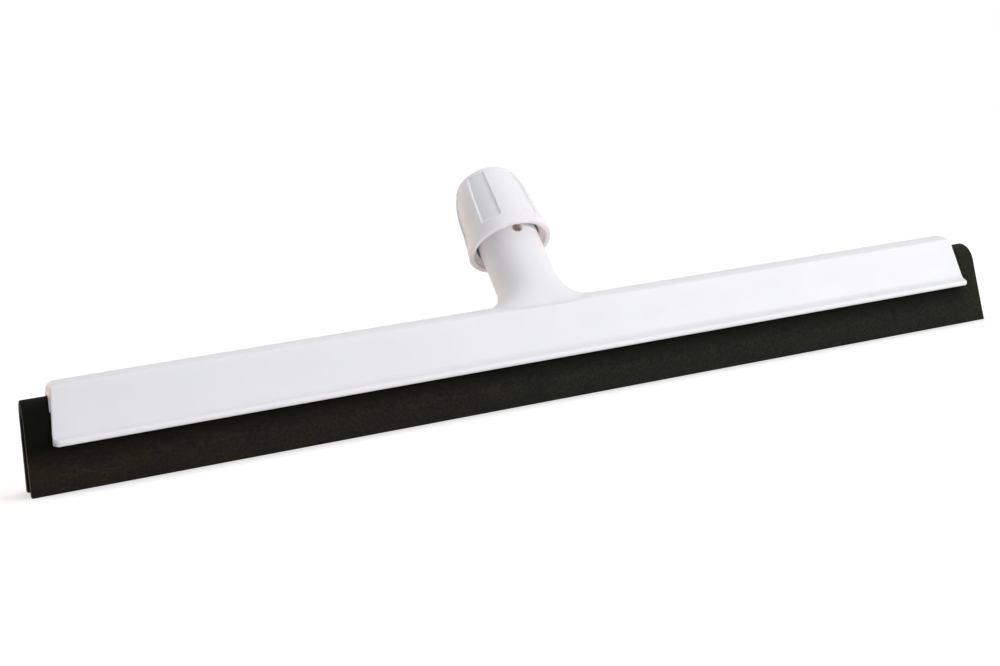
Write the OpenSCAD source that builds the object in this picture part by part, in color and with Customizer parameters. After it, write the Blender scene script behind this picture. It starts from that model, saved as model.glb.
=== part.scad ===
// Floor squeegee head: a moulded channel with a leaning handle socket and a screw collar,
// and a double lip blade of folded foam rubber held in the channel by a core strip and screws.
// Millimetres. The blade stands on the plane z = 0, x runs along it and the handle leans to +y.

/* [Blade] */
// Length of the foam rubber blade from end to end
blade_l = 550; // [400:1:800]
// Height of the folded blade from the floor to the top of its fold
blade_h = 45.4; // [43:0.1:47]
// Width across the two lips at the floor
blade_stance = 26; // [24:0.5:28]
// Thickness of the foam rubber sheet
foam_t = 6.2; // [5:0.1:6.6]
// Clearance between the foam and the moulding around it
foam_gap = 0.2; // [0.1:0.05:0.4]

/* [Channel] */
// Length of the moulded channel
frame_l = 523; // [380:1:780]
// Height of the roof's crown above the top of the fold
crown_h = 6.9; // [6:0.1:9]
// Rise of the crown above the two top edges
crown_rise = 2.4; // [1:0.1:3]
// Width of the roof between its top edges
roof_w = 18.2; // [17:0.1:20]
// Thickness of the roof under the crown
roof_t = 3.6; // [3:0.1:4.5]
// Width across the walls where they meet the flange
base_w = 28; // [27:0.1:32]
// Thickness of the two side walls
wall_t = 2.1; // [1.6:0.1:2.4]
// Radius of the top corner at each end
end_r = 5; // [2:0.5:8]

/* [Flange] */
// Height of the flange's underside above the floor
flange_z = 22.6; // [20:0.1:25]
// Thickness of the flange
flange_t = 3.2; // [2:0.1:4]
// How far the flange stands out from the foot of the wall
flange_reach = 5.5; // [3:0.1:8]
// Radius of the flange's corners, seen from above
flange_corner_r = 4; // [2:0.5:8]

/* [Ribs and bosses] */
// Number of screws along the channel
screw_count = 5; // [3:1:7]
// Distance from one screw to the next
screw_pitch = 110; // [90:1:120]
// Thickness of the ribs that back the fold
rib_t = 2.4; // [1.6:0.1:4]
// Outer diameter of the screw bosses
boss_d = 9; // [7:0.5:11]

/* [Core strip and screws] */
// How far the core strip stops short of each end of the channel
core_inset = 6; // [2:1:20]
// Clearance between the core strip and the foam around it
core_gap = 0.2; // [0.1:0.05:0.4]
// Shank diameter of the screws
screw_d = 4; // [3:0.1:4.2]
// Head diameter of the screws
head_d = 7.4; // [6.5:0.1:7.6]
// Height of the screw heads
head_t = 2.4; // [1.8:0.1:3]
// Depth of the counterbore that takes a screw head
head_sink = 3.4; // [3.2:0.1:5]
// Radial clearance round shank and head
screw_gap = 0.1; // [0.05:0.05:0.3]
// Plastic left above the tip of a screw
tip_cover = 2.2; // [1.5:0.1:3]

/* [Handle socket] */
// Lean of the handle back from upright, in degrees
lean = 37.5; // [34:0.1:40]
// How far below the crown the handle axis would cut the blade's middle plane
axis_drop = 17.7; // [16:0.1:19]
// Distance along the axis from there to the collar's rim
rim_s = 57.8; // [56:0.1:80]
// Outer diameter of the neck
neck_d = 34; // [32:0.1:35]
// How far the fillet at the neck's root spreads along the roof
fillet_w = 22; // [14:0.5:26]
// How much wider that fillet is behind the neck than beside it
fillet_skew = 7; // [0:0.5:10]
// How far the fillet climbs up the sides of the neck
fillet_h = 13.5; // [10:0.5:16]
// How much higher it climbs in front of the neck than at the sides
fillet_rise = 12; // [0:0.5:14]
// Diameter of the handle that the socket takes
handle_d = 24; // [22:0.1:24.4]
// Radial clearance of the handle in the open socket
handle_gap = 0.1; // [0.05:0.05:0.2]
// Depth of the socket from its mouth
socket_depth = 76; // [60:1:78]
// Thickness of the clamping fingers at their tips
finger_t = 2.5; // [1.8:0.1:2.8]
// Width of the slits that part the fingers
slit_w = 2; // [1:0.1:3]
// Diameter of the round hole that ends each slit
keyhole_d = 5.5; // [3:0.1:7]
// Distance of that hole's centre above the collar's rim
keyhole_h = 1; // [0:0.1:4]

/* [Collar] */
// Length of the collar along the handle axis
collar_l = 45.6; // [42:0.1:52]
// Outer diameter of the rim
rim_d = 46.8; // [44:0.1:52]
// Diameter at the shoulder, where the dome starts
shoulder_d = 42.8; // [42:0.1:46]
// Height of the shoulder above the rim
shoulder_h = 17; // [14:0.5:24]
// Diameter of the flat top
top_d = 27.2; // [27:0.1:32]
// Radial clearance of the opening round the handle
top_gap = 0.8; // [0.4:0.1:1.2]
// Wall thickness of the open skirt
skirt_t = 2.5; // [1.8:0.1:3]
// Height of the open skirt
skirt_h = 7; // [4:0.5:10]
// Outer diameter of the socket's thread, taken as a plain cylinder
thread_d = 35.6; // [35:0.1:37]
// Radial clearance of the collar on the thread
thread_gap = 0.1; // [0.02:0.01:0.1]
// Height above the rim at which the thread ends and the clamping cone starts
cone_h = 24; // [20:0.5:28]
// Clearance between the collar and the clamping cone
cone_gap = 0.3; // [0.2:0.05:0.5]
// Thickness of the collar's top over the fingers
lid_t = 3.2; // [2:0.1:5]
// Number of sunk grip panels round the collar
panel_count = 6; // [4:1:8]
// Width of one panel in degrees
panel_angle = 30; // [15:1:40]
// Depth of the panels
panel_sink = 0.9; // [0.4:0.1:1.5]
// Height of the panels' lower ends above the rim
panel_low = 9; // [6:0.5:14]
// Plain band between the panels and the top
panel_rest = 4.5; // [3:0.5:8]
// Turn of the panels, measured from the front of the handle
panel_turn = 25; // [0:1:60]

/* [Hidden] */
$fn = 96;

// Facets along a rounded stretch of an outline
arc_steps = 12;
dome_steps = 8;
// Facets round the neck's root and along it
root_sides = 64;
root_steps = 10;
// Step by which the root stands out from the neck, and the length over which it closes round it
root_step = 0.15;
root_lap = 1.5;
// How deep the fillet's foot sinks into the channel, and how far it stays behind the roof's front edge
root_sink = 1;
root_lip = 0.5;
// Where the fillet's foot turns from the roof down the rear wall, as the sine of its angle round the neck
root_wrap = 0.4;
// Bend of the foot's outline on the roof, and on the rear wall
roof_bend = 0.5;
wall_bend = 0.8;
// Overlap that joins two volumes of one moulding, and overshoot of a cut
joint_lap = 0.01;
cut = 1;

// Channel section
crown_z = blade_h + crown_h;
roof_edge_z = crown_z - crown_rise;
foot_z = flange_z + flange_t;
wall_slope = (base_w - roof_w) / 2 / (roof_edge_z - foot_z);
wall_stretch = sqrt(1 + wall_slope * wall_slope);
crown_r = (pow(roof_w / 2, 2) + pow(crown_rise, 2)) / (2 * crown_rise);
crown_half = asin(roof_w / 2 / crown_r);
inner_roof_z = crown_z - roof_t;
function outer_y(z) = roof_w / 2 + (roof_edge_z - z) * wall_slope;
function inner_y(z) = outer_y(z) - wall_t * wall_stretch;

// Blade section: the fold fills the width between the leaning walls, and the lips splay from it
fold_r = (inner_y(blade_h) - foam_gap * wall_stretch) / (wall_stretch - wall_slope);
fold_z = blade_h - fold_r;
fold_in_r = fold_r - foam_t;
splay = atan(blade_stance / 2 / fold_z)
    - asin(fold_r / sqrt(pow(blade_stance / 2, 2) + pow(fold_z, 2)));
function lip_outer_y(z) = blade_stance / 2 - z * tan(splay);
function lip_inner_y(z) = lip_outer_y(z) - foam_t / cos(splay);

// Beads inside the wall feet that press on the blade
bead_z = flange_z + flange_t / 2;
bead_r = inner_y(bead_z) - lip_outer_y(bead_z) - foam_gap;

// Screws
seat_z = flange_z + head_sink;
tip_z = crown_z - tip_cover;
function screw_x(i) = (i - (screw_count - 1) / 2) * screw_pitch;
screw_xs = [for (i = [0 : screw_count - 1]) screw_x(i)];
rib_xs = [for (i = [0 : screw_count - 2]) screw_x(i) + screw_pitch / 2];
end_rib_x = (frame_l - rib_t) / 2 - end_r;

// Handle socket, along its axis
axis_z = crown_z - axis_drop;
neck_r = neck_d / 2;
bore_r = handle_d / 2 + handle_gap;
thread_r = thread_d / 2;
finger_r = bore_r + finger_t;
collet_h = collar_l - lid_t - cone_gap;
mouth_s = rim_s + collet_h;
bore_s = mouth_s - socket_depth;
root_r = neck_r + root_step;
heel_z = foot_z + flange_t / 2;
root_s = axis_drop / cos(lean) + fillet_h + root_lap;

// Collar
dome_r = (shoulder_d - top_d) / 2;
dome_h = collar_l - shoulder_h;
opening_r = handle_d / 2 + top_gap;
panel_high = collar_l - panel_rest;

// The part's depth runs from the front flange to the back of the collar's dome
front_y = -base_w / 2 - flange_reach;
back_y = (rim_s + shoulder_h) * sin(lean) + top_d / 2 * cos(lean)
    + sqrt(pow(dome_r * cos(lean), 2) + pow(dome_h * sin(lean), 2));
mid_y = (front_y + back_y) / 2;

function arc(y, z, r, from, to, steps = arc_steps) =
    [for (i = [0 : steps]) let (a = from + (to - from) * i / steps) [y + r * cos(a), z + r * sin(a)]];
function bezier(a, b, c, t) = (1 - t) * (1 - t) * a + 2 * t * (1 - t) * b + t * t * c;
function on_axis(s, r) = [s * sin(lean) - r * cos(lean), axis_z + s * cos(lean) + r * sin(lean)];

module placed() translate([0, -mid_y, 0]) children();

module along_x(l) rotate([90, 0, 90]) linear_extrude(l, center = true) children();

module about_axis() translate([0, 0, axis_z]) rotate([-lean, 0, 0]) children();

// Outline of the channel, from the wall feet over the crowned roof
module channel_outline() {
    crown = arc(0, crown_z - crown_r, crown_r, 90 - crown_half, 90 + crown_half);
    foot = [[-base_w / 2, foot_z], [-base_w / 2, flange_z], [base_w / 2, flange_z], [base_w / 2, foot_z]];
    polygon(concat(crown, foot));
}

module hollow_outline() {
    low_z = flange_z - cut;
    polygon([
        [-inner_y(low_z), low_z], [inner_y(low_z), low_z],
        [inner_y(inner_roof_z), inner_roof_z], [-inner_y(inner_roof_z), inner_roof_z]
    ]);
}

// Side view of the channel, which rounds the two top corners
module end_limit() {
    high = crown_z - end_r;
    right = arc(frame_l / 2 - end_r, high, end_r, 0, 90);
    left = arc(end_r - frame_l / 2, high, end_r, 90, 180);
    rotate([90, 0, 0]) linear_extrude(2 * base_w, center = true)
        polygon(concat([[-frame_l / 2, 0], [frame_l / 2, 0]], right, left));
}

// Flange along both wall feet, with a round nose and round corners
module flange() {
    nose_y = base_w / 2 + flange_reach - flange_t / 2;
    corner_x = frame_l / 2 - flange_corner_r;
    corner_y = base_w / 2 + flange_reach - flange_corner_r;
    section = concat(
        arc(nose_y, bead_z, flange_t / 2, -90, 90), arc(-nose_y, bead_z, flange_t / 2, 90, 270));
    plan = concat(
        arc(corner_x, corner_y, flange_corner_r, 0, 90),
        arc(-corner_x, corner_y, flange_corner_r, 90, 180),
        arc(-corner_x, -corner_y, flange_corner_r, 180, 270),
        arc(corner_x, -corner_y, flange_corner_r, 270, 360));
    intersection() {
        along_x(frame_l + 2 * cut) polygon(section);
        translate([0, 0, flange_z - cut]) linear_extrude(flange_t + 2 * cut) polygon(plan);
    }
}

// The fillet's foot at the angle a round the neck: from the roof's front edge over the roof to its
// rear edge, then down the rear wall to the heel above the flange
function roof_z(y) = crown_z - crown_r + sqrt(crown_r * crown_r - y * y);
function roof_foot(a) =
    let (share = (sin(a) + root_wrap) / (1 + root_wrap), y = roof_w / 2 - share * (roof_w - root_lip),
         spread = neck_r + fillet_w - fillet_skew * sin(a))
    [sign(cos(a)) * spread * pow(abs(cos(a)), roof_bend), y, roof_z(y)];
function wall_foot(a) =
    let (share = (-sin(a) - root_wrap) / (1 - root_wrap), z = roof_edge_z - share * (roof_edge_z - heel_z),
         spread = (neck_r + fillet_w + fillet_skew * root_wrap) * pow(1 - root_wrap * root_wrap, roof_bend / 2))
    [sign(cos(a)) * spread * pow(max(0, 1 - share), wall_bend), outer_y(z), z];
function foot(a) = sin(a) < -root_wrap ? wall_foot(a) : roof_foot(a);
function sunk(a) = sin(a) < -root_wrap ? [0, root_sink, 0] : [0, 0, root_sink];

// Point of the fillet at the angle a: t = 0 is on the neck, t = 1 on the foot
function at_axis(x, s, r) = let (p = on_axis(s, r)) [x, p[0], p[1]];
function fillet_point(a, t) =
    let (r = root_r * sin(a), low = foot(a), s = (low[2] - axis_z - r * sin(lean)) / cos(lean),
         high = at_axis(root_r * cos(a), s + fillet_h + fillet_rise * max(sin(a), -root_wrap), r),
         corner = at_axis(root_r * cos(a), s, r))
    bezier(high, corner, low - sunk(a), t);

// Root of the neck: a loft of rings from the round neck through the fillet into the channel
module neck_root() {
    cap_s = root_s + root_lap;
    cap_r = neck_r - root_step;
    angles = [for (i = [0 : root_sides - 1]) 360 * i / root_sides];
    inner_half = [-roof_w / 2 - inner_y(heel_z), inner_roof_z - heel_z] / 2;
    inner_mid = [-roof_w / 2 + wall_t, inner_roof_z] - inner_half;
    rings = concat(
        [[for (a = angles) at_axis(cap_r * cos(a), cap_s, cap_r * sin(a))]],
        [[for (a = angles) at_axis(root_r * cos(a), root_s, root_r * sin(a))]],
        [for (k = [0 : root_steps]) [for (a = angles) fillet_point(a, k / root_steps)]],
        [[for (a = angles) let (p = inner_mid + inner_half * sin(a)) [neck_r * cos(a), p[0], p[1]]]]);
    last = (len(rings) - 1) * root_sides;
    sides = [for (k = [0 : len(rings) - 2], i = [0 : root_sides - 1])
        let (a = k * root_sides + i, b = k * root_sides + (i + 1) % root_sides)
        each [[a, b + root_sides, b], [a, a + root_sides, b + root_sides]]];
    top = [for (i = [0 : root_sides - 1]) i];
    bottom = [for (i = [root_sides - 1 : -1 : 0]) last + i];
    polyhedron([for (r = rings) each r], concat([top, bottom], sides));
}

// Neck above the root, thread and clamping cone, as one turned shape
module neck_tube() {
    about_axis() rotate([0, 0, 180 / root_sides]) rotate_extrude() polygon([
        [0, root_s], [neck_r, root_s], [neck_r, rim_s + skirt_h],
        [thread_r, rim_s + skirt_h], [thread_r, rim_s + cone_h],
        [finger_r, mouth_s], [0, mouth_s]
    ]);
}

module socket_cuts() {
    about_axis() {
        translate([0, 0, bore_s]) cylinder(r = bore_r, h = socket_depth + cut);
        translate([-slit_w / 2, -thread_d, rim_s + keyhole_h])
            cube([slit_w, 2 * thread_d, collet_h]);
        translate([0, 0, rim_s + keyhole_h]) rotate([90, 0, 0])
            cylinder(d = keyhole_d, h = 2 * thread_d, center = true);
    }
}

// Cross rib that backs the fold of the blade
module rib() {
    along_x(rib_t) difference() {
        polygon([
            [-inner_y(fold_z) - joint_lap, fold_z], [inner_y(fold_z) + joint_lap, fold_z],
            [inner_y(inner_roof_z) + joint_lap, inner_roof_z + joint_lap],
            [-inner_y(inner_roof_z) - joint_lap, inner_roof_z + joint_lap]
        ]);
        translate([0, fold_z]) circle(fold_r + foam_gap);
    }
}

module boss() {
    low_z = blade_h + foam_gap;
    translate([0, 0, low_z]) cylinder(d = boss_d, h = inner_roof_z + joint_lap - low_z);
}

module frame() {
    color("white") placed() difference() {
        union() {
            difference() {
                union() {
                    intersection() {
                        along_x(frame_l) channel_outline();
                        end_limit();
                    }
                    flange();
                    neck_root();
                    neck_tube();
                }
                along_x(frame_l + 2 * cut) hollow_outline();
                socket_cuts();
            }
            for (side = [-1, 1]) along_x(frame_l)
                translate([side * inner_y(bead_z), bead_z]) circle(bead_r);
            for (x = concat(rib_xs, [-end_rib_x, end_rib_x])) translate([x, 0, 0]) rib();
            for (x = screw_xs) translate([x, 0, 0]) boss();
        }
        for (x = screw_xs) translate([x, 0, blade_h - cut])
            cylinder(d = screw_d + 2 * screw_gap, h = tip_z + screw_gap - blade_h + cut);
    }
}

// One sheet of foam rubber folded over, so that its two edges are the wiping lips
module blade() {
    outer = arc(0, fold_z, fold_r, splay, 180 - splay, 2 * arc_steps);
    inner = arc(0, fold_z, fold_in_r, 180 - splay, splay, 2 * arc_steps);
    left = [[-lip_outer_y(0), 0], [-lip_inner_y(0), 0]];
    right = [[lip_inner_y(0), 0], [lip_outer_y(0), 0]];
    color([0.11, 0.11, 0.09]) placed() difference() {
        along_x(blade_l) polygon(concat(outer, left, inner, right));
        for (x = screw_xs) translate([x, 0, fold_z])
            cylinder(d = screw_d + 2 * core_gap, h = fold_r + cut);
    }
}

// Wedge strip inside the fold, which spreads the lips against the channel
module core_strip() {
    top = arc(0, fold_z, fold_in_r - core_gap, splay, 180 - splay);
    foot_y = lip_inner_y(flange_z) - core_gap / cos(splay);
    color("gainsboro") placed() difference() {
        along_x(frame_l - 2 * core_inset)
            polygon(concat(top, [[-foot_y, flange_z], [foot_y, flange_z]]));
        for (x = screw_xs) translate([x, 0, flange_z - cut]) {
            cylinder(d = screw_d + 2 * screw_gap, h = fold_z + fold_r - flange_z);
            cylinder(d = head_d + 2 * screw_gap, h = head_sink + cut);
        }
    }
}

// Pan head screws, driven up through the strip and the fold into the bosses
module core_screws() {
    color("silver") placed() for (x = screw_xs) translate([x, 0, 0]) rotate_extrude() polygon([
        [0, seat_z - head_t], [head_d / 2 - head_t / 3, seat_z - head_t],
        [head_d / 2, seat_z - head_t * 2 / 3], [head_d / 2, seat_z],
        [screw_d / 2, seat_z], [screw_d / 2, tip_z - screw_d / 2], [0, tip_z]
    ]);
}

// Outer radius of the collar at height h above its rim: a slight taper, then a dome
function collar_r(h) = h < shoulder_h
    ? (rim_d + (shoulder_d - rim_d) * h / shoulder_h) / 2
    : top_d / 2 + dome_r * sqrt(max(0, 1 - pow((h - shoulder_h) / dome_h, 2)));

module collar() {
    dome_hs = [for (i = [0 : dome_steps]) shoulder_h + dome_h * sin(90 * i / dome_steps)];
    step_h = thread_gap + skirt_h;
    skirt_r = rim_d / 2 - skirt_t;
    inside = [
        [opening_r, collar_l], [opening_r, collar_l - lid_t],
        [finger_r + cone_gap, collar_l - lid_t], [thread_r + cone_gap, cone_h],
        [thread_r + thread_gap, cone_h], [thread_r + thread_gap, step_h],
        [skirt_r, step_h - (skirt_r - thread_r) / 2], [skirt_r, 0]
    ];
    panel_hs = concat([panel_low, shoulder_h], [for (h = dome_hs) if (h > shoulder_h && h < panel_high) h],
        [panel_high]);
    color("white") placed() about_axis() translate([0, 0, rim_s]) difference() {
        rotate([0, 0, panel_turn - 90 + 180 / panel_count])
            rotate_extrude() polygon(concat([[rim_d / 2, 0]], [for (h = dome_hs) [collar_r(h), h]], inside));
        for (i = [0 : panel_count - 1])
            rotate([0, 0, panel_turn - 90 - panel_angle / 2 + i * 360 / panel_count])
                rotate_extrude(angle = panel_angle) polygon(concat(
                    [for (h = panel_hs) [collar_r(h) - panel_sink, h]],
                    [[rim_d / 2 + cut, panel_high], [rim_d / 2 + cut, panel_low]]));
    }
}

frame();
blade();
core_strip();
core_screws();
collar();
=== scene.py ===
import math

import bmesh
import bpy
import numpy as np
from mathutils import Matrix, Vector
from mathutils.geometry import tessellate_polygon


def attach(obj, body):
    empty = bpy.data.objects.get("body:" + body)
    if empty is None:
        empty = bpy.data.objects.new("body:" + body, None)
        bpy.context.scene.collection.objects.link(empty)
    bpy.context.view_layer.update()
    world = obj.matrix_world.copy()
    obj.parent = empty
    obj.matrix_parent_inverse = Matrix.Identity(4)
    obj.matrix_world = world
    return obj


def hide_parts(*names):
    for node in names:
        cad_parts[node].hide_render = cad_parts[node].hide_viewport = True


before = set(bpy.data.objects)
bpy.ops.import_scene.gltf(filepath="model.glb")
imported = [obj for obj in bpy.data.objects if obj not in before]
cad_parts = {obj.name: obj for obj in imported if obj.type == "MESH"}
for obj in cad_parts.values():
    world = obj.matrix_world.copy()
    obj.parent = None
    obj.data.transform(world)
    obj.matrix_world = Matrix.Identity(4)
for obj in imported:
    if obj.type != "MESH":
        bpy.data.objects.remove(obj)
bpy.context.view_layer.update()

# Channel: the long part of the one white polypropylene moulding. Its tapering section, with a crowned
# roof, a flange along both feet and a bead inside each, runs along x, and its ends lean in and are
# round at the top. Sizes are in millimetres, and y = 0 is the blade's middle plane.
mid_y = 27.6513
channel_l, end_r, end_h, end_lean, flange_corner_r = 523.8, 4.4, 15.0, 0.05, 4.0
crown_z, crown_rise, roof_w, roof_t = 52.3, 2.4, 18.2, 3.6
base_w, wall_t, flange_z, flange_t, flange_reach = 28.0, 2.1, 22.6, 3.2, 5.5
bead_y, bead_in_y, bead_z, bead_top_z, bead_r = 11.6, 10.85, 24.2, 26.0, 0.9
foot_r, roof_edge_r, hollow_r, flange_edge_r, wall_edge_r = 3.4, 0.9, 1.0, 1.4, 0.6
roof_edge_z, foot_z, inner_roof_z = crown_z - crown_rise, flange_z + flange_t, crown_z - roof_t
wall_slope = (base_w - roof_w) / 2 / (roof_edge_z - foot_z)
crown_r = ((roof_w / 2) ** 2 + crown_rise**2) / (2 * crown_rise)


def linear(code):
    """Linear RGBA of an sRGB hex colour."""
    srgb = np.array([int(code[i : i + 2], 16) for i in (1, 3, 5)]) / 255
    rgb = np.where(srgb <= 0.04045, srgb / 12.92, ((srgb + 0.055) / 1.055) ** 2.4)
    return (*rgb, 1.0)


def feed(node, inputs):
    """Sets each named input of a node to its value, or links it from its socket."""
    for key, value in inputs.items():
        if isinstance(value, bpy.types.NodeSocket):
            node.id_data.links.new(value, node.inputs[key])
        else:
            node.inputs[key].default_value = value


def add_node(tree, kind, settings, inputs):
    """Node of that kind with its settings, its fed inputs and, from the setting stops, the hex colours
    at the positions of its ramp."""
    made = tree.nodes.new(kind)
    for key, value in settings.items():
        if key == "stops":
            for element, (position, code) in zip(made.color_ramp.elements, value, strict=True):
                element.position, element.color = position, linear(code)
        else:
            setattr(made, key, value)
    feed(made, inputs)
    return made


def new_material(name):
    """Material with its node tree, its shader and the socket of the object's own coordinates."""
    made = bpy.data.materials.new(name)
    made.use_nodes = True
    tree = made.node_tree
    place = add_node(tree, "ShaderNodeTexCoord", {}, {}).outputs["Object"]
    return made, tree, tree.nodes["Principled BSDF"], place


def moulded_plastic(name, light, dark, inside, roughness):
    """Moulded polypropylene, satin and a little translucent: faint clouds of tone 25 mm wide, flow
    lines 6 mm wide and 125 mm long that vary the gloss, and a grain of 0.36 mm. Where the attribute
    inside is 1 the colour inside is mixed in: painted light, a warm glow for light come through the wall."""
    made, tree, shader, place = new_material(name)
    clouds = add_node(tree, "ShaderNodeTexNoise", {}, {"Vector": place, "Scale": 1000 / 25, "Detail": 4})
    tone = add_node(tree, "ShaderNodeValToRGB", {"stops": ((0.35, dark), (0.62, light))},
                    {"Fac": clouds.outputs["Fac"]})
    through_light_mask = add_node(tree, "ShaderNodeAttribute", {"attribute_name": "inside"}, {})
    mixed = add_node(tree, "ShaderNodeMix", {"data_type": "RGBA"},
                     {0: through_light_mask.outputs["Fac"], 6: tone.outputs["Color"], 7: linear(inside)})
    flow = add_node(tree, "ShaderNodeMapping", {},
                    {"Vector": place, "Scale": (1000 / 125, 1000 / 6.25, 1000 / 6.25)})
    lines = add_node(tree, "ShaderNodeTexNoise", {},
                     {"Vector": flow.outputs["Vector"], "Scale": 1, "Detail": 3})
    gloss = add_node(tree, "ShaderNodeMapRange", {}, {
        "Value": lines.outputs["Fac"], "To Min": roughness - 0.06, "To Max": roughness + 0.08})
    grain = add_node(tree, "ShaderNodeTexNoise", {}, {"Vector": place, "Scale": 1000 / 0.36, "Detail": 2})
    bump = add_node(tree, "ShaderNodeBump", {},
                    {"Strength": 0.12, "Distance": 0.00006, "Height": grain.outputs["Fac"]})
    feed(shader, {
        "Base Color": mixed.outputs[2], "Roughness": gloss.outputs["Result"],
        "Normal": bump.outputs["Normal"], "IOR": 1.49, "Subsurface Weight": 0.6,
        "Subsurface Radius": (1.0, 0.85, 0.7), "Subsurface Scale": 0.0025})
    return made


def rounded(corners, steps=6):
    """Closed outline through corners (y, z, r): each corner becomes the arc of radius r that touches
    both its sides, found by turning the arc's first spoke into its last. r = 0 keeps the corner."""
    corners = np.array(corners, float)
    at, r = corners[:, :2], corners[:, 2:]
    back, ahead = np.roll(at, 1, 0) - at, np.roll(at, -1, 0) - at
    back /= np.linalg.norm(back, axis=1, keepdims=True)
    ahead /= np.linalg.norm(ahead, axis=1, keepdims=True)
    half = np.arccos(np.clip((back * ahead).sum(1, keepdims=True), -1, 1)) / 2
    middle = (back + ahead) / np.linalg.norm(back + ahead, axis=1, keepdims=True)
    centre = at + middle * r / np.sin(half)
    first, last = at + back * r / np.tan(half) - centre, at + ahead * r / np.tan(half) - centre
    turn = (np.pi - 2 * half)[:, None]
    t = np.linspace(0, 1, steps)[None, :, None]
    spokes = np.sin((1 - t) * turn) * first[:, None] + np.sin(t * turn) * last[:, None]
    arcs = centre[:, None] + spokes / np.sin(turn)
    keep = np.ones(arcs.shape[:2], bool)
    keep[r[:, 0] == 0, 1:] = False
    return arcs[keep]


def grid_faces(rows, columns, closed=False):
    """Quads of a grid whose columns close on themselves, and whose rows do too if closed."""
    i, j = np.meshgrid(np.arange(rows if closed else rows - 1), np.arange(columns), indexing="ij")
    below, beside = (i + 1) % rows, (j + 1) % columns
    corners = [i * columns + j, i * columns + beside, below * columns + beside, below * columns + j]
    return np.stack(corners, -1).reshape(-1, 4).tolist()


def add_piece(name, points, faces):
    """Object of these points, in millimetres, with its faces turned outward."""
    points = np.asarray(points, float).reshape(-1, 3)
    mesh = bpy.data.meshes.new(name)
    mesh.from_pydata(((points - (0, mid_y, 0)) / 1000).tolist(), [], faces)
    outward = bmesh.new()
    outward.from_mesh(mesh)
    bmesh.ops.recalc_face_normals(outward, faces=outward.faces)
    outward.to_mesh(mesh)
    outward.free()
    made = bpy.data.objects.new(name, mesh)
    bpy.context.scene.collection.objects.link(made)
    return made


def shade(obj, material, inside=None):
    """Smooth shading that keeps edges over 32 degrees, the material, and for each point the value of
    the attribute inside, which is 0 without one and sets how much painted through-light glow shows."""
    mesh = obj.data
    mesh.shade_smooth()
    mesh.set_sharp_from_angle(angle=math.radians(32))
    mesh.materials.clear()
    mesh.materials.append(material)
    values = np.zeros(len(mesh.vertices)) if inside is None else inside
    mesh.attributes.new("inside", "FLOAT", "POINT").data.foreach_set("value", values.astype(np.float32))


def swept(section, ends, edge_r, stations):
    """Section (y, z) run along x from -ends to ends, a half length for each of its points. Near each
    end the section shrinks along its normals by edge_r (1 - cos) while x gains edge_r sin, so that
    the end's edges are round. Returns points, rows by section points, and faces with end caps."""
    tangent = np.roll(section, -1, 0) - np.roll(section, 1, 0)
    tangent /= np.linalg.norm(tangent, axis=1, keepdims=True)
    inward = np.stack([-tangent[:, 1], tangent[:, 0]], 1)
    angle = np.radians(np.linspace(0, 90, 6))[:, None, None]
    rim = section + inward * np.reshape(edge_r, (-1, 1)) * (1 - np.cos(angle))
    rim_x = ends(rim[..., 0], rim[..., 1]) - edge_r + edge_r * np.sin(angle[..., 0])
    share = np.linspace(-1, 1, stations)[1:-1, None]
    x = np.concatenate([-rim_x[::-1], share * rim_x[:1], rim_x])
    yz = np.concatenate([rim[::-1], np.broadcast_to(section, (stations - 2, *section.shape)), rim])
    points = np.concatenate([x[..., None], yz], -1)
    cap = np.array(tessellate_polygon([[Vector((y, z, 0)) for y, z in section]]))
    caps = np.concatenate([cap, cap + (len(x) - 1) * len(section)])
    return points, grid_faces(len(x), len(section)) + caps.tolist()


def inner_y(z):
    """Inner face of the leaning side wall at height z: the outer line moved in by the wall."""
    return roof_w / 2 + (roof_edge_z - z) * wall_slope - wall_t * math.hypot(1, wall_slope)


def channel_end(y, z):
    """Half length of the channel: its ends lean in with the draft, and lose the top corners' elliptic
    arc, end_r long and end_h high, and the flange's round corners."""
    top = np.clip((z - (crown_z - end_h)) / end_h, 0, 1)
    side = np.clip(np.abs(y) - (base_w / 2 + flange_reach - flange_corner_r), 0, flange_corner_r)
    lost_top = end_r * (1 - np.sqrt(1 - top**2)) + end_lean * np.clip(z - flange_z, 0, None)
    lost_side = flange_corner_r - np.sqrt(flange_corner_r**2 - side**2)
    return channel_l / 2 - np.maximum(lost_top, lost_side)


crown_half = math.asin(roof_w / 2 / crown_r)
crown_turn = np.linspace(crown_half, -crown_half, 17)[1:-1]
crown_y, crown_up = crown_r * np.sin(crown_turn), crown_r * np.cos(crown_turn) - crown_r
crown = np.stack([crown_y, crown_z + crown_up, 0 * crown_turn], 1)
nose_y, nose_r = base_w / 2 + flange_reach, flange_t / 2 - 0.02
wall_side = [
    (nose_y, flange_z, nose_r), (nose_y, foot_z, nose_r), (base_w / 2, foot_z, foot_r),
    (roof_w / 2, roof_edge_z, roof_edge_r)]
hollow_side = [
    (bead_y, flange_z, 0.8), (bead_in_y, bead_z, bead_r), (inner_y(bead_top_z), bead_top_z, hollow_r),
    (inner_y(inner_roof_z), inner_roof_z, hollow_r)]
channel_section = rounded(
    wall_side + crown.tolist() + [(-y, z, r) for y, z, r in wall_side[::-1]]
    + [(-y, z, r) for y, z, r in hollow_side] + hollow_side[::-1])
on_flange = np.abs(channel_section[:, 0]) > base_w / 2 + 2.5
end_edge_r = np.where(on_flange, flange_edge_r, wall_edge_r)
channel = add_piece("frame_channel", *swept(channel_section, channel_end, end_edge_r, 49))
# The third colour, #FFE2BE, is painted light: a warm glow for light come through the wall, where the
# attribute inside is set.
white_polypropylene = moulded_plastic("white_polypropylene", "#F4F3F8", "#F2F1F6", "#FFE2BE", 0.42)
shade(channel, white_polypropylene)
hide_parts("frame")
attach(channel, "head")

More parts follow.
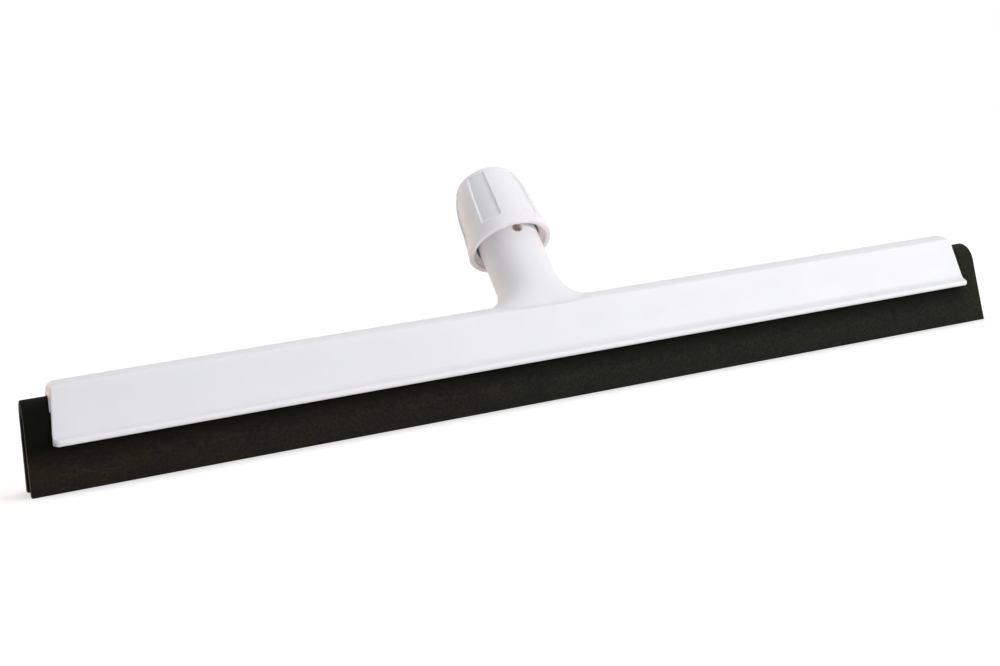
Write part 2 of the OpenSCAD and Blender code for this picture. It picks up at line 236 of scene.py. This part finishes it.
# Ribs and bosses under the channel's roof, of the same moulding. The ribs back the blade's fold between
# the screws, the outermost two reach the ends and close them, and the bosses take the screws.
rib_xs, rib_t, web_inset = np.array([-255.3, -165, -55, 55, 165, 255.3]), 2.4, 0.15
boss_xs, boss_r, boss_low, boss_bore = np.array([-220.0, -110, 0, 110, 220]), 4.5, 45.6, 2.1
fold_r, blade_h, foam_gap, bite = 9.383, 45.4, 0.2, 0.3
fold_z = blade_h - fold_r


def capped(rows, columns):
    """Quads of a grid of rings, and one face over its first ring and one over its last."""
    first, last = np.arange(columns), np.arange((rows - 1) * columns, rows * columns)
    return grid_faces(rows, columns) + [first[::-1].tolist(), last.tolist()]


def copied(faces, size, count):
    """Faces of count copies of a mesh of size points, whose points follow each other copy by copy."""
    return [[v + k * size for v in face] for k in range(count) for face in faces]


# A rib, by the angle round the fold's centre: from the fold's outer face out to the roof or to the
# leaning wall, whichever is nearer, and a bite into it. Each row holds the four corners of its section.
rib_a = np.radians(np.linspace(2, 178, 45))
to_roof = (inner_roof_z + bite - fold_z) / np.sin(rib_a)
to_wall = (inner_y(fold_z) + bite) / (np.abs(np.cos(rib_a)) + wall_slope * np.sin(rib_a))
rib_out = np.minimum(to_roof, to_wall)
rib_in = np.full_like(rib_a, fold_r + foam_gap)
rib_r = np.stack([rib_in, rib_out, rib_out, rib_in], 1)
rib_y, rib_z = rib_r * np.cos(rib_a)[:, None], fold_z + rib_r * np.sin(rib_a)[:, None]
rib_x = rib_xs[:, None, None] + np.array([-1, -1, 1, 1]) * rib_t / 2 + 0 * rib_y
rib_x[0, :, :2] = web_inset - channel_end(rib_y, rib_z)[:, :2]
rib_x[-1, :, 2:] = channel_end(rib_y, rib_z)[:, 2:] - web_inset
rib_points = np.stack(np.broadcast_arrays(rib_x, rib_y, rib_z), -1)
ribs = add_piece("frame_ribs", rib_points, copied(capped(len(rib_a), 4), len(rib_a) * 4, len(rib_xs)))
shade(ribs, white_polypropylene)
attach(ribs, "head")

# A boss is a tube of four rings: down its outside from the roof, and up its bore again.
boss_a = np.linspace(0, 2 * np.pi, 48, endpoint=False)
boss_r_of = np.array([boss_r, boss_r, boss_bore, boss_bore])[:, None]
boss_z_of = np.array([inner_roof_z + bite, boss_low, boss_low, inner_roof_z + bite])[:, None]
boss_points = np.stack(np.broadcast_arrays(
    boss_xs[:, None, None] + boss_r_of * np.cos(boss_a), boss_r_of * np.sin(boss_a), boss_z_of), -1)
boss_faces = copied(grid_faces(4, len(boss_a), closed=True), 4 * len(boss_a), len(boss_xs))
bosses = add_piece("frame_bosses", boss_points, boss_faces)
shade(bosses, white_polypropylene)
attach(bosses, "head")

# Handle socket, the rest of the moulding: a round neck that leans back from the channel and flows into
# its roof and rear wall with a wide fillet. Under the collar it has a thread and a cone that two slits
# with round ends split into clamping fingers, all round a blind bore.
lean, axis_z, rim_s = math.radians(37.5), 34.6, 57.8
neck_r, bore_r, bore_s, mouth_s = 17.0, 12.1, 23.9, 99.9
fillet_w, fillet_skew, fillet_h, fillet_rise, fillet_sink, heel_z = 12.5, -6.0, 13.5, 12.0, 0.3, 27.4
foot_wrap, roof_bend, front_inset = 0.4, 0.4, 0.5
thread_low, thread_high, thread_pitch, thread_deep, thread_core_r = 65.2, 81.5, 3.5, 0.42, 17.33
finger_s, finger_low_r, finger_top_r, finger_edge_r = 82.0, 17.5, 14.75, 14.15
slit_w, keyhole_r, keyhole_s = 2.0, 2.75, 58.8


def on_axis(x, s, r):
    """Point x to the side, s up the leaning handle axis from the middle plane and r in front of it."""
    y, z = s * math.sin(lean) - r * math.cos(lean), axis_z + s * math.cos(lean) + r * math.sin(lean)
    return np.stack(np.broadcast_arrays(x, y, z), -1)


def fillet_foot(side, front):
    """Where the fillet ends, for the cosine and sine of the angle round the neck: over the roof from
    its front edge to its rear edge, then down the rear wall in half an ellipse to the heel."""
    on_roof = (front + foot_wrap) / (1 + foot_wrap)
    on_wall = np.clip((-front - foot_wrap) / (1 - foot_wrap), 0, 1)
    roof_y = roof_w / 2 - np.clip(on_roof, 0, 1) * (roof_w - front_inset)
    roof_z = crown_z - crown_r + np.sqrt(crown_r**2 - roof_y**2)
    wall_z = roof_edge_z - on_wall * (roof_edge_z - heel_z)
    wall_y = roof_w / 2 + (roof_edge_z - wall_z) * wall_slope
    roof_x = (neck_r + fillet_w - fillet_skew * front) * np.abs(side) ** roof_bend
    edge_x = (neck_r + fillet_w + fillet_skew * foot_wrap) * (1 - foot_wrap**2) ** (roof_bend / 2)
    behind = front < -foot_wrap
    x = np.sign(side) * np.where(behind, edge_x * np.sqrt(1 - on_wall**2), roof_x)
    return np.stack([x, np.where(behind, wall_y, roof_y), np.where(behind, wall_z, roof_z)], -1), behind


def cut(obj, *tools):
    """Takes the tools' volumes out of obj with exact Booleans, and removes the tools."""
    for tool in tools:
        change = obj.modifiers.new("cut", "BOOLEAN")
        change.operation, change.solver, change.object = "DIFFERENCE", "EXACT", tool
    settled = obj.evaluated_get(bpy.context.evaluated_depsgraph_get())
    obj.data, old = bpy.data.meshes.new_from_object(settled), obj.data
    obj.modifiers.clear()
    bpy.data.meshes.remove(old)
    for tool in tools:
        bpy.data.objects.remove(tool)


def in_socket(obj):
    """For each point of obj, 1 on the bore, the slits and the keyholes below the thread, which are
    nearer to the axis than the neck's skin, and 0 on the rest: where the painted through-light goes."""
    flat = np.empty(3 * len(obj.data.vertices))
    obj.data.vertices.foreach_get("co", flat)
    x, y, z = (flat.reshape(-1, 3) * 1000 + (0, mid_y, -axis_z)).T
    s = y * math.sin(lean) + z * math.cos(lean)
    r = np.hypot(x, z * math.sin(lean) - y * math.cos(lean))
    return ((r < neck_r - 0.3) & (s > bore_s - 1) & (s < thread_low - 1)).astype(float)


# The fillet is a quadratic curve at each angle: from its foot towards the point where the neck's side
# would meet the foot's height, then up the neck. A ring inside the channel closes it below.
neck_a = np.linspace(0, 2 * np.pi, 192, endpoint=False)
side, front = np.cos(neck_a), np.sin(neck_a)
foot, behind = fillet_foot(side, front)
foot_s = (foot[:, 2] - axis_z - neck_r * front * math.sin(lean)) / math.cos(lean)
climb = fillet_h + fillet_rise * np.maximum(front, -foot_wrap)
high = on_axis(neck_r * side, foot_s + climb, neck_r * front)
corner = on_axis(neck_r * side, foot_s, neck_r * front)
low = foot - fillet_sink * np.stack([0 * side, behind, ~behind], -1)
t = np.linspace(1, 0, 19)[:, None, None]
fillet = (1 - t) ** 2 * high + 2 * t * (1 - t) * corner + t**2 * low
inner_half = np.array([-roof_w / 2 - inner_y(heel_z), inner_roof_z - heel_z]) / 2
inner_mid = np.array([-roof_w / 2 + wall_t, inner_roof_z]) - inner_half
closing = np.concatenate([(neck_r * side)[:, None], inner_mid + inner_half * front[:, None]], 1)

# Above it a profile (s, radius) is turned about the axis, up the outside and down the bore. On the
# thread the radius swings by a clipped cosine of s / pitch less the angle.
profile = np.array([
    (38.5, neck_r), (46, neck_r), (57, neck_r), (64.5, neck_r), (64.8, 17.1),
    *[(s, thread_core_r) for s in np.linspace(thread_low, thread_high, 66)],
    (finger_s - 0.3, finger_low_r - 0.3), (finger_s, finger_low_r), (mouth_s - 0.8, finger_top_r),
    (mouth_s - 0.25, finger_top_r - 0.2), (mouth_s, finger_edge_r), (mouth_s, bore_r + 0.6),
    (mouth_s - 0.2, bore_r + 0.2), (mouth_s - 0.7, bore_r), (60, bore_r), (bore_s + 1, bore_r),
    (bore_s, bore_r - 1)])
along, radius = profile[:, :1], np.broadcast_to(profile[:, 1:], (len(profile), len(neck_a))).copy()
ramped = np.clip(np.minimum(along - thread_low, thread_high - along) / 2, 0, 1)
ridge = np.clip(1.5 * np.cos(2 * np.pi * along / thread_pitch - neck_a), -1, 1)
on_thread = (along >= thread_low) & (along <= thread_high)
radius += np.where(on_thread, thread_deep * ramped * ridge, 0)
tube = on_axis(radius * side, along, radius * front)
neck_rings = np.concatenate([closing[None], fillet, tube])
neck = add_piece("frame_neck", neck_rings, capped(*neck_rings.shape[:2]))

# The tools that cut the slits, their round ends and, where the neck meets it, the channel's hollow.
through = np.array([[-30], [30]])
slit_x = np.array([-1, 1, 1, -1]) * slit_w / 2
slit_s = np.array([keyhole_s, keyhole_s, mouth_s + 10, mouth_s + 10])
slit_tool = add_piece("slit_tool", on_axis(slit_x, slit_s, through), capped(2, 4))
hole_a = np.linspace(0, 2 * np.pi, 48, endpoint=False)
hole_x, hole_s = keyhole_r * np.cos(hole_a), keyhole_s + keyhole_r * np.sin(hole_a)
hole_tool = add_piece("hole_tool", on_axis(hole_x, hole_s, through), capped(2, len(hole_a)))
hollow_z = np.array([flange_z - 5, flange_z - 5, inner_roof_z, inner_roof_z]) + 0.02
hollow_y = np.array([1, -1, -1, 1]) * (np.array([inner_y(z) for z in hollow_z]) + 0.02)
hollow_points = np.stack(np.broadcast_arrays(np.array([[-40], [40]]), hollow_y, hollow_z), -1)
hollow_tool = add_piece("hollow_tool", hollow_points, capped(2, 4))
cut(neck, slit_tool, hole_tool, hollow_tool)
# The socket's bore, slits and keyholes get the painted through-light glow.
shade(neck, white_polypropylene, in_socket(neck))
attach(neck, "head")

# Blade: one sheet of black cellular rubber folded over, whose two edges are the wiping lips. It is held
# in the channel by its fold, and outside the channel's ends the fold opens to its own wider bend.
blade_l, stance, foam_t, free_r, fold_pull, lip_r, blade_edge_r = 550.0, 26.0, 6.2, 10.2, 2.2, 0.7, 0.5
open_x, open_half, pin_r, pin_top = 257.0, 5.0, 2.2, 50.0


def blade_outline(fold):
    """Outline of the folded sheet for an outer bend radius fold: an arc under the channel's roof and
    two straight legs that touch it and reach the floor a stance apart."""
    top = blade_h - fold
    splay = math.atan2(stance / 2, top) - math.asin(fold / math.hypot(stance / 2, top))
    turn = np.linspace(splay, np.pi - splay, 41)
    bend_y, bend_z = np.cos(turn), np.sin(turn)
    outer = np.stack([fold * bend_y, top + fold * bend_z, 0 * turn], 1)
    inner = np.stack([(fold - foam_t) * bend_y, top + (fold - foam_t) * bend_z, 0 * turn], 1)[::-1]
    lip_in = stance / 2 - foam_t / math.cos(splay)
    front_lip = [(-stance / 2, 0, lip_r), (-lip_in, 0, lip_r)]
    rear_lip = [(lip_in, 0, lip_r), (stance / 2, 0, lip_r)]
    return rounded(outer.tolist() + front_lip + inner.tolist() + rear_lip)


def blade_end(y, z):
    """Half length of the blade, which the fold pulls in towards its top."""
    return blade_l / 2 - fold_pull * z / blade_h


def smooth_step(distance, width):
    """0 to 1 as distance goes from -width to width, level at both ends: 3 u^2 - 2 u^3."""
    u = np.clip(distance / (2 * width) + 0.5, 0, 1)
    return u * u * (3 - 2 * u)


blade_points, blade_faces = swept(blade_outline(fold_r), blade_end, blade_edge_r, 111)
opened = smooth_step(np.abs(blade_points[..., :1]) - open_x, open_half)
blade_points[..., 1:] += opened * (blade_outline(free_r) - blade_outline(fold_r))
blade = add_piece("blade_foam", blade_points, blade_faces)
pin_x, pin_y = boss_xs[:, None, None] + pin_r * np.cos(hole_a), pin_r * np.sin(hole_a)
pin_points = np.stack(np.broadcast_arrays(pin_x, pin_y, np.array([[fold_z], [pin_top]])), -1)
pin_faces = copied(capped(2, len(hole_a)), 2 * len(hole_a), len(boss_xs))
pin_tool = add_piece("pin_tool", pin_points, pin_faces)
cut(blade, pin_tool)

# Cellular rubber: matt black with a fine mottle. Its cells, a few tenths of a millimetre wide, are too
# fine to show, so they are drawn 0.67 mm wide in relief and 1.25 mm wide in tone, over patches of
# 11 mm. Towards the end at -x the legs have brown stains and rubbed streaks. From 11 to 22 mm up and
# short of the channel's end at +x the rubber is painted near black and less glossy: painted shade of
# the flange, which also covers the upper part of the blade past the end at -x.
cellular_rubber, tree, shader, place = new_material("black_cellular_rubber")
cells = add_node(tree, "ShaderNodeTexVoronoi", {}, {"Vector": place, "Scale": 1000 / 0.67})
patches = add_node(tree, "ShaderNodeTexNoise", {},
                   {"Vector": place, "Scale": 1000 / 11.1, "Detail": 5, "Roughness": 0.6})
specks = add_node(tree, "ShaderNodeTexNoise", {}, {"Vector": place, "Scale": 1000 / 1.25, "Detail": 1})
mottle = add_node(tree, "ShaderNodeMix", {},
                  {0: 0.5, 2: patches.outputs["Fac"], 3: specks.outputs["Fac"]}).outputs[0]
drawn = add_node(tree, "ShaderNodeMapping", {},
                 {"Vector": place, "Scale": (1000 / 16.7, 1000 / 8.3, 1000 / 5.9)})
rubs = add_node(tree, "ShaderNodeTexNoise", {},
                {"Vector": drawn.outputs["Vector"], "Scale": 1, "Detail": 6, "Roughness": 0.7})
worn = add_node(tree, "ShaderNodeMapRange", {},
                {"Value": rubs.outputs["Fac"], "From Min": 0.55, "From Max": 0.8})
apart = add_node(tree, "ShaderNodeSeparateXYZ", {}, {"Vector": place})
handled = add_node(tree, "ShaderNodeMapRange", {}, {
    "Value": apart.outputs["X"], "From Min": -0.27, "From Max": 0.0, "To Min": 0.9, "To Max": 0.05})
streaks = add_node(tree, "ShaderNodeMath", {"operation": "MULTIPLY"},
                   {0: worn.outputs["Result"], 1: handled.outputs["Result"]})
clean = add_node(tree, "ShaderNodeValToRGB", {"stops": ((0.38, "#060603"), (0.62, "#212217"))},
                 {"Fac": mottle})
stained = add_node(tree, "ShaderNodeValToRGB", {"stops": ((0.38, "#070401"), (0.62, "#1F1607"))},
                   {"Fac": mottle})
skin = add_node(tree, "ShaderNodeMix", {"data_type": "RGBA"},
                {0: handled.outputs["Result"], 6: clean.outputs["Color"], 7: stained.outputs["Color"]})
rubbed = add_node(tree, "ShaderNodeMix", {"data_type": "RGBA"},
                  {0: streaks.outputs[0], 6: skin.outputs[2], 7: linear("#3B3222")})
# Painted shade of the flange: from 11 mm up, full at 22 mm, for x below 260 mm (so also past the end at
# -x).
above = add_node(tree, "ShaderNodeMapRange", {},
                 {"Value": apart.outputs["Z"], "From Min": 0.011, "From Max": 0.022})
shade_x_span = add_node(tree, "ShaderNodeMapRange", {}, {
    "Value": apart.outputs["X"], "From Min": 0.260, "From Max": 0.264, "To Min": 1.0, "To Max": 0.0})
painted_flange_shade = add_node(tree, "ShaderNodeMath", {"operation": "MULTIPLY"},
                     {0: above.outputs["Result"], 1: shade_x_span.outputs["Result"]}).outputs[0]
# 060602 is the colour of the painted shade.
painted_shade_mix = add_node(tree, "ShaderNodeMix", {"data_type": "RGBA"},
                   {0: painted_flange_shade, 6: rubbed.outputs[2], 7: linear("#060602")})
# The specular level drops from 0.2 to 0.09 under the painted shade.
specular_under_painted_shade = add_node(tree, "ShaderNodeMapRange", {}, {"Value": painted_flange_shade, "To Min": 0.2, "To Max": 0.09})
dry = add_node(tree, "ShaderNodeMapRange", {},
               {"Value": patches.outputs["Fac"], "To Min": 0.72, "To Max": 0.95})
pits = add_node(tree, "ShaderNodeBump", {},
                {"Strength": 0.5, "Distance": 0.00025, "Height": cells.outputs["Distance"]})
feed(shader, {
    "Base Color": painted_shade_mix.outputs[2], "Roughness": dry.outputs["Result"], "Normal": pits.outputs["Normal"],
    "Specular IOR Level": specular_under_painted_shade.outputs["Result"]})
shade(blade, cellular_rubber)
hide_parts("blade")
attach(blade, "head")

# Core strip and screws: the CAD solids stay, because the fold hides them. The strip is a grey
# polypropylene moulding, and steel screws pull it and the fold up into the channel. Their zinc plating
# is bright with faint crystals, drawn 1.1 mm wide because the real ones are too fine to show.
grey_polypropylene = moulded_plastic("grey_polypropylene", "#B9BAB8", "#A9AAA8", "#A9AAA8", 0.5)
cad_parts["core_strip"].data.materials.clear()
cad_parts["core_strip"].data.materials.append(grey_polypropylene)
zinc_plated_steel, tree, shader, place = new_material("zinc_plated_steel")
spangle = add_node(tree, "ShaderNodeTexNoise", {}, {"Vector": place, "Scale": 1000 / 1.1, "Detail": 3})
tone = add_node(tree, "ShaderNodeValToRGB", {"stops": ((0.3, "#9FA3A6"), (0.7, "#C4C8CA"))},
                {"Fac": spangle.outputs["Fac"]})
polish = add_node(tree, "ShaderNodeMapRange", {},
                  {"Value": spangle.outputs["Fac"], "To Min": 0.25, "To Max": 0.5})
feed(shader, {"Base Color": tone.outputs["Color"], "Roughness": polish.outputs["Result"], "Metallic": 1.0})
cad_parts["core_screws"].data.materials.clear()
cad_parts["core_screws"].data.materials.append(zinc_plated_steel)

# Collar: the screw collar of white polypropylene that closes the clamping fingers on the handle. Outside
# it has a slight taper and a dome with six sunk grip panels, and inside an open skirt, a thread, a cone
# and a lid round the handle.
collar_l, shoulder_h, rim_r, shoulder_r, top_r, rim_edge_r = 45.6, 17.0, 23.8, 21.8, 13.6, 0.9
panel_count, panel_half, panel_sink, panel_low, panel_high, panel_turn = 6, 15.0, 1.1, 9.0, 41.1, 25.0
panel_edge, panel_fade = 0.22, 1.2
skirt_r, skirt_h, skirt_edge_r, opening_r = 20.9, 2.8, 0.5, 12.8
groove_r, groove_low, groove_high, groove_deep, bore_h = 18.25, 8.2, 23.2, 0.3, 3.8
cone_h, cone_low_r, cone_top_r, lid_h, painted_through_light = 24.0, 18.1, 14.9, 42.4, 0.25

# The collar's section is a closed loop of (radius, height): up the taper and the dome's elliptic arc,
# in through the opening, and down the lid, the cone, the thread and the skirt. It is turned about the
# axis, with more angles and heights near the panels' edges.
near = np.array([-2.6, -1.7, -1.2, -0.9, -0.6, -0.3, 0, 0.3, 0.6, 0.9, 1.2, 1.7, 2.6])
offsets = np.concatenate(
    [-panel_half + near, np.linspace(-11, 11, 10), panel_half + near, np.linspace(19, 41, 10)])
pitch_a, first_a = 360 / panel_count, panel_turn - 90
turns = np.radians((first_a + np.arange(panel_count)[:, None] * pitch_a + offsets).ravel())
dome_l = collar_l - shoulder_h
skin_h = np.concatenate([
    np.linspace(1.2, 7.2, 6), np.linspace(7.6, 10.4, 15), np.linspace(11, shoulder_h, 8),
    shoulder_h + dome_l * np.sin(np.radians(np.linspace(3, 51, 18))), np.linspace(39.7, 42.5, 15),
    shoulder_h + dome_l * np.sin(np.radians(np.linspace(64.5, 86, 8)))])
taper = rim_r + (shoulder_r - rim_r) * skin_h / shoulder_h
dome = top_r + (shoulder_r - top_r) * np.sqrt(np.maximum(0, 1 - ((skin_h - shoulder_h) / dome_l) ** 2))
skin_r = np.where(skin_h < shoulder_h, taper, dome)
groove_h = np.linspace(groove_low, groove_high, 61)
quarter = np.radians(np.linspace(-90, 0, 6))
swing_in, swing_up = 1 - np.cos(quarter), 1 + np.sin(quarter)
rim_arc = np.stack([rim_r - rim_edge_r * swing_in, rim_edge_r * swing_up], 1)
skirt_arc = np.stack([skirt_r + skirt_edge_r * swing_in, skirt_edge_r * swing_up], 1)[::-1]
loop = np.concatenate([
    rim_arc, np.stack([skin_r, skin_h], 1),
    [(top_r + 0.2, collar_l - 0.02), (opening_r + 0.5, collar_l), (opening_r + 0.15, collar_l - 0.1),
     (opening_r, collar_l - 0.5), (opening_r, lid_h), (cone_top_r, lid_h), (cone_low_r, cone_h)],
    np.stack([np.full_like(groove_h, groove_r), groove_h], 1),
    [(groove_r, bore_h + 0.4), (groove_r + 0.45, bore_h), (skirt_r, skirt_h)], skirt_arc])
radius, height = np.broadcast_to(loop[:, :1], (len(loop), len(turns))).copy(), loop[:, 1:]
outside = (np.arange(len(loop)) < len(rim_arc) + len(skin_h))[:, None]

# A panel sinks by a smooth step across its sides, along the skin, times one across its two ends. The
# thread swings by a clipped cosine, as the neck's does.
away = np.abs((np.degrees(turns) - first_a + pitch_a / 2) % pitch_a - pitch_a / 2)
into_side = np.radians(panel_half - away) * radius
into_end = np.minimum(height - panel_low, panel_high - height)
sunk = smooth_step(into_side, panel_edge) * smooth_step(into_end, panel_fade)
threaded = (height >= groove_low) & (height <= groove_high) & ~outside
groove = np.clip(1.5 * np.cos(2 * np.pi * height / thread_pitch - turns), -1, 1)
radius += np.where(outside, -panel_sink * sunk, 0) + np.where(threaded, groove_deep * groove, 0)
collar_points = on_axis(radius * np.cos(turns), rim_s + height, -radius * np.sin(turns))
collar = add_piece("collar_body", collar_points, grid_faces(len(loop), len(turns), closed=True))
# Painted light: the collar's inner faces below the lid get a quarter of the warm through-light glow.
painted_glow = painted_through_light * (~outside & (height < lid_h))
shade(collar, white_polypropylene, np.repeat(painted_glow, len(turns)))
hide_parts("collar")
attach(collar, "collar")

# Studio: a white paper floor that keeps the shadow, a white surround, a large soft light from the front
# right, one from above and a weak warm one from behind on the left, and the camera at the photograph's
# angle.


def in_view(tree):
    """1 for the rays that show the background: those of the camera, of reflections and of clear bodies."""
    ray = add_node(tree, "ShaderNodeLightPath", {}, {}).outputs
    seen = add_node(tree, "ShaderNodeMath", {"operation": "MAXIMUM"},
                    {0: ray["Is Camera Ray"], 1: ray["Is Glossy Ray"]})
    return add_node(tree, "ShaderNodeMath", {"operation": "MAXIMUM"},
                    {0: seen.outputs[0], 1: ray["Is Transmission Ray"]}).outputs[0]


floor_mesh = bpy.data.meshes.new("floor")
floor_mesh.from_pydata([(-8, -8, 0), (8, -8, 0), (8, 8, 0), (-8, 8, 0)], [], [[0, 1, 2, 3]])
floor = bpy.data.objects.new("floor", floor_mesh)
bpy.context.scene.collection.objects.link(floor)

# White paper with faint fibres 1.4 mm wide. In view it glows up to white, and less near the object,
# where its shadow shows.
white_paper, tree, shader, place = new_material("white_paper")
fibres = add_node(tree, "ShaderNodeTexNoise", {}, {"Vector": place, "Scale": 1000 / 1.4, "Detail": 3})
tone = add_node(tree, "ShaderNodeValToRGB", {"stops": ((0.3, "#F6F6F6"), (0.7, "#FBFBFB"))},
                {"Fac": fibres.outputs["Fac"]})
distance = add_node(tree, "ShaderNodeVectorMath", {"operation": "LENGTH"}, {0: place})
glow = add_node(tree, "ShaderNodeMapRange", {}, {
    "Value": distance.outputs["Value"], "From Min": 0.3, "From Max": 1.5, "To Min": 0.45, "To Max": 0.68})
shown = add_node(tree, "ShaderNodeMath", {"operation": "MULTIPLY"},
                 {0: in_view(tree), 1: glow.outputs["Result"]})
feed(shader, {
    "Base Color": tone.outputs["Color"], "Roughness": 0.95, "Specular IOR Level": 0.0,
    "Emission Color": linear("#FFFFFF"), "Emission Strength": shown.outputs[0]})
floor_mesh.materials.append(white_paper)

surround = bpy.data.worlds.new("surround")
bpy.context.scene.world = surround
surround.use_nodes = True
level = add_node(surround.node_tree, "ShaderNodeMapRange", {},
                 {"Value": in_view(surround.node_tree), "To Min": 0.42, "To Max": 1.0})
feed(surround.node_tree.nodes["Background"],
     {"Color": linear("#FFFFFF"), "Strength": level.outputs["Result"]})


def add_light(name, place, aim, size, power, code):
    """Square soft light at place, turned to the point aim."""
    lamp = bpy.data.lights.new(name, "AREA")
    lamp.shape, lamp.size, lamp.energy, lamp.color = "SQUARE", size, power, linear(code)[:3]
    made = bpy.data.objects.new(name, lamp)
    bpy.context.scene.collection.objects.link(made)
    made.location = place
    made.rotation_euler = (Vector(aim) - Vector(place)).to_track_quat("-Z", "Y").to_euler()


add_light("key", (1.3, -1.82, 0.43), (0, 0, 0.06), 1.15, 27, "#FFFFFF")
add_light("top", (0.05, 0.1, 0.95), (0, 0, 0.05), 0.7, 2.1, "#FFFFFF")
add_light("back", (-0.85, 1.3, 0.35), (0, 0.03, 0.09), 0.8, 3, "#FFC48A")

lens = bpy.data.cameras.new("camera")
lens.lens, lens.sensor_width, lens.clip_start, lens.clip_end = 58.12, 36.0, 0.05, 50
camera = bpy.data.objects.new("camera", lens)
bpy.context.scene.collection.objects.link(camera)
camera.matrix_world = Matrix((
    (0.917446, 0.156113, -0.365952, -0.338295),
    (-0.377593, 0.051833, -0.924520, -0.815298),
    (-0.125362, 0.986378, 0.106501, 0.129390),
    (0, 0, 0, 1)))
bpy.context.scene.camera = camera
bpy.context.scene.view_settings.view_transform = "Standard"
